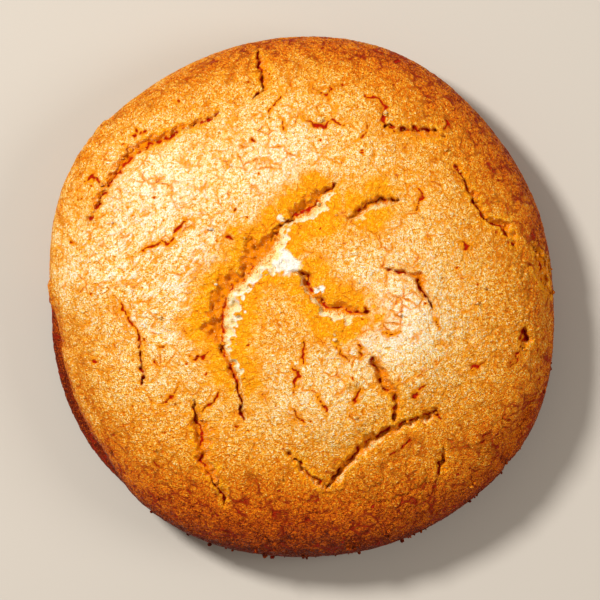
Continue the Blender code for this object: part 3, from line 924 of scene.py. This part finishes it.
draw = np.random.default_rng(CRUMB_SEED)
placed = all_points[: len(points)]
on_rim = smooth_step((reach - CRUMB_RIM) / 0.1) * (z > CRUMB_LOWEST) * (underneath < 0.1)
in_tear = torn * smooth_step(torn_depth / 0.6)
low_side = FEWEST + smooth_step(-np.sin(angle - 0.5))
chance = ON_TOP * (reach < CRUMB_RIM) + ON_RIM * on_rim * low_side + IN_TEAR * in_tear
hosts = draw.choice(len(points), LOOSE_CRUMBS, replace=False, p=chance / chance.sum())

grain_mesh = bmesh.new()
bmesh.ops.create_icosphere(grain_mesh, subdivisions=2, radius=1.0)
grain_points = np.array([vertex.co for vertex in grain_mesh.verts])
grain_faces = np.array([[vertex.index for vertex in face.verts] for face in grain_mesh.faces])
grain_mesh.free()

crumb_radius = CRUMB_RADIUS[0] + (CRUMB_RADIUS[1] - CRUMB_RADIUS[0]) * draw.random(LOOSE_CRUMBS) ** 2
squash = draw.uniform(0.65, 1.25, (LOOSE_CRUMBS, 1, 3))
knobs = draw.uniform(0.72, 1.2, (LOOSE_CRUMBS, len(grain_points), 1))
middles = placed[hosts] + normals[hosts] * (crumb_radius * (1 - CRUMB_SINK))[:, None]
crumb_points = middles[:, None] + grain_points * squash * knobs * crumb_radius[:, None, None]
crumb_faces = grain_faces + (np.arange(LOOSE_CRUMBS) * len(grain_points))[:, None, None]

crumb_mesh = bpy.data.meshes.new("loose_crumbs")
crumb_mesh.from_pydata((crumb_points.reshape(-1, 3) * MM).tolist(), [], crumb_faces.reshape(-1, 3).tolist())
crumb_mesh.shade_smooth()
loose_crumbs = bpy.data.objects.new("loose_crumbs", crumb_mesh)
bpy.context.scene.collection.objects.link(loose_crumbs)
paler = draw.uniform(-0.25, 0.25, LOOSE_CRUMBS)
crumb_baking = {name: np.zeros(LOOSE_CRUMBS) for name in baking}
crumb_baking["browning_and_shade"] = baking["browning_and_shade"][hosts] + paler
crumb_baking["torn"] = torn[hosts]
crumb_baking["bank"] = bank[hosts]
for name, values in crumb_baking.items():
    layer = crumb_mesh.attributes.new(name, "FLOAT", "POINT")
    layer.data.foreach_set("value", np.repeat(values, len(grain_points)).astype(np.float32))
crumb_mesh.materials.append(crust)
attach(loose_crumbs, "root")

# The floor
# A plain, pale, matt studio table top, larger than any view needs.
FLOOR_SIZE = 3.0
bpy.ops.mesh.primitive_plane_add(size=FLOOR_SIZE)
floor = bpy.context.object
floor.name = "floor"
table_top = bpy.data.materials.new("pale_matt_laminate")
table_top.use_nodes = True
table_shader = table_top.node_tree.nodes["Principled BSDF"]
table_shader.inputs["Base Color"].default_value = colour("#A9A5A0")
table_shader.inputs["Roughness"].default_value = 0.85
floor.data.materials.append(table_top)

# The light
# A soft lamp from the upper left, as in the photograph, and a weak one from the right to fill in.
WARM_WHITE = (1.0, 0.95, 0.87)
LAMPS = {
    "key": {"turn": 143, "rise": 50, "away": 0.6, "size": 0.12, "power": 5.4},
    "fill": {"turn": 0, "rise": 40, "away": 0.8, "size": 0.4, "power": 2.7},
}
target = Vector((0, 0, 10 * MM))
for name, lamp in LAMPS.items():
    light = bpy.data.lights.new(name, "AREA")
    light.shape = "DISK"
    light.size = lamp["size"]
    light.energy = lamp["power"]
    light.color = WARM_WHITE
    lamp_object = bpy.data.objects.new(name, light)
    bpy.context.scene.collection.objects.link(lamp_object)
    turn, rise = math.radians(lamp["turn"]), math.radians(lamp["rise"])
    toward = Vector((math.cos(turn) * math.cos(rise), math.sin(turn) * math.cos(rise), math.sin(rise)))
    lamp_object.location = target + toward * lamp["away"]
    lamp_object.rotation_euler = toward.to_track_quat("Z", "Y").to_euler()

world = bpy.data.worlds.new("studio")
world.use_nodes = True
world.node_tree.nodes["Background"].inputs["Color"].default_value = colour("#FFEFDC")
world.node_tree.nodes["Background"].inputs["Strength"].default_value = 0.42
bpy.context.scene.world = world

# The camera
# Straight above, far off through a long lens, so that one pixel shows PIXEL of the cookie's waist.
PICTURE_PIXELS = 600
LENS = 600.0
PICTURE_CENTRE = (-0.1, -0.4)
camera = bpy.data.cameras.new("above")
camera.lens = LENS
camera.sensor_width = 36.0
picture_width = PIXEL * PICTURE_PIXELS * MM
away = picture_width * camera.lens / camera.sensor_width
camera.clip_start = 0.01
camera_object = bpy.data.objects.new("above", camera)
camera_object.location = (PICTURE_CENTRE[0] * MM, PICTURE_CENTRE[1] * MM, WAIST_HEIGHT * MM + away)
bpy.context.scene.collection.objects.link(camera_object)
bpy.context.scene.camera = camera_object
bpy.context.scene.view_settings.view_transform = "Standard"
